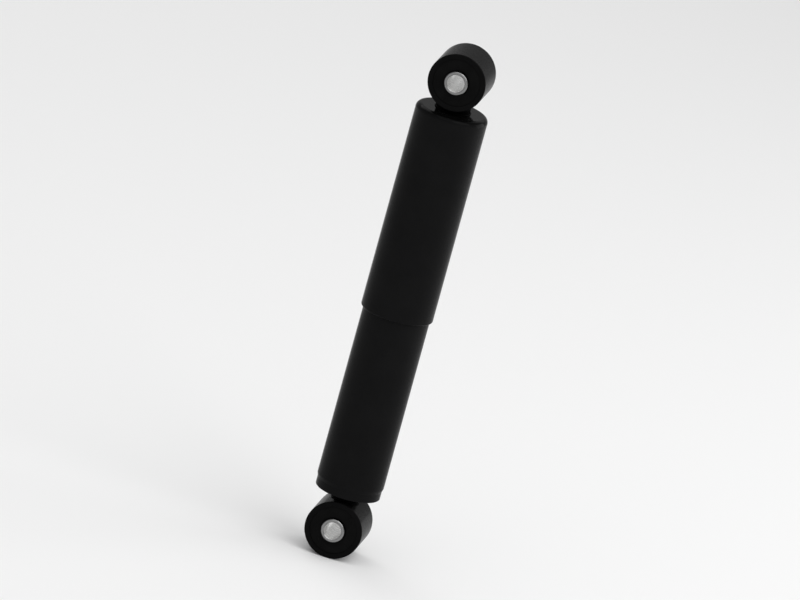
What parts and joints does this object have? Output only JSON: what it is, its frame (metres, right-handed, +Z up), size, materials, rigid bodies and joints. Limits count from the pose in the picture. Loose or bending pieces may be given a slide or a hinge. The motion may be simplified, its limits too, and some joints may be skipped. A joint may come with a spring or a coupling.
{
  "type": "shock absorber",
  "caption": "Eye-to-eye hydraulic shock absorber: black twin-tube damper under a drawn dust cover, with a rubber-bushed, steel-sleeved eye at each end.",
  "frame": {"origin": "centre of the lower eye's bolt bore, half way along the sleeve", "axes": "+Z up the damper's axis from the lower eye to the upper eye, Y along both eyes' bores, X across"},
  "size_m": [0.0436, 0.0436, 0.3183],
  "materials": {
    "black_paint": "satin black paint on steel",
    "bush_rubber": "moulded black rubber",
    "seal_rubber": "moulded oil-resistant rubber",
    "plated_steel": "turned and zinc-plated steel",
    "bare_steel": "oiled bright steel",
    "rod_chrome": "ground and hard-chromed steel",
    "sintered_iron": "sintered iron, as pressed",
    "guide_alloy": "die-cast alloy",
    "bearing_bronze": "bronze bearing strip",
    "band_plastic": "filled low-friction plastic"
  },
  "bodies": {
    "lower_sleeve": {"lower_sleeve": "plated_steel"},
    "lower_half": {"lower_eye": "black_paint", "lower_bush": "bush_rubber", "base_cap": "black_paint", "reservoir_tube": "black_paint", "pressure_tube": "bare_steel", "base_valve": "sintered_iron", "base_check_spring": "bare_steel", "base_shim_large": "bare_steel", "base_shim_middle": "bare_steel", "base_shim_small": "bare_steel", "base_valve_pin": "bare_steel", "rod_guide": "guide_alloy", "guide_bush": "bearing_bronze", "rod_seal": "seal_rubber", "guide_o_ring": "seal_rubber", "seal_washer": "bare_steel"},
    "base_check_plate": {"base_check_plate": "bare_steel"},
    "piston_band": {"piston_band": "band_plastic"},
    "upper_half": {"upper_eye": "black_paint", "upper_bush": "bush_rubber", "dust_cover": "black_paint", "piston_rod": "rod_chrome", "piston": "sintered_iron", "piston_check_spring": "bare_steel", "piston_shim_large": "bare_steel", "piston_shim_middle": "bare_steel", "piston_shim_small": "bare_steel", "support_washer": "bare_steel", "backing_washer": "bare_steel", "rebound_collar": "bare_steel", "rebound_bumper": "seal_rubber", "piston_nut": "plated_steel"},
    "piston_check_plate": {"piston_check_plate": "bare_steel"},
    "upper_sleeve": {"upper_sleeve": "plated_steel"}
  },
  "joints": [
    {"name": "lower_pivot", "type": "hinge", "parent": "lower_sleeve", "child": "lower_half", "pos_m": [0, 0, 0], "axis": [0, 1, 0], "range_deg": [-15, 15], "stiffness_Nm_per_rad": 20},
    {"name": "stroke", "type": "slide", "parent": "lower_half", "child": "piston_band", "axis": [0, 0, 1], "range_m": [-0.057, 0.035]},
    {"name": "swivel", "type": "hinge", "parent": "piston_band", "child": "upper_half", "pos_m": [0, 0, 0], "axis": [0, 0, 1], "continuous": true},
    {"name": "upper_pivot", "type": "hinge", "parent": "upper_half", "child": "upper_sleeve", "pos_m": [0, 0, 0.28355], "axis": [0, 1, 0], "range_deg": [-15, 15], "stiffness_Nm_per_rad": 20},
    {"name": "base_check_lift", "type": "slide", "parent": "lower_half", "child": "base_check_plate", "axis": [0, 0, 1], "range_m": [0, 0.0008], "stiffness_N_per_m": 400, "springref_m": -0.002, "deforming": ["base_check_spring"]},
    {"name": "piston_check_lift", "type": "slide", "parent": "upper_half", "child": "piston_check_plate", "axis": [0, 0, 1], "range_m": [0, 0.0008], "stiffness_N_per_m": 400, "springref_m": -0.002, "deforming": ["piston_check_spring"]}
  ]
}
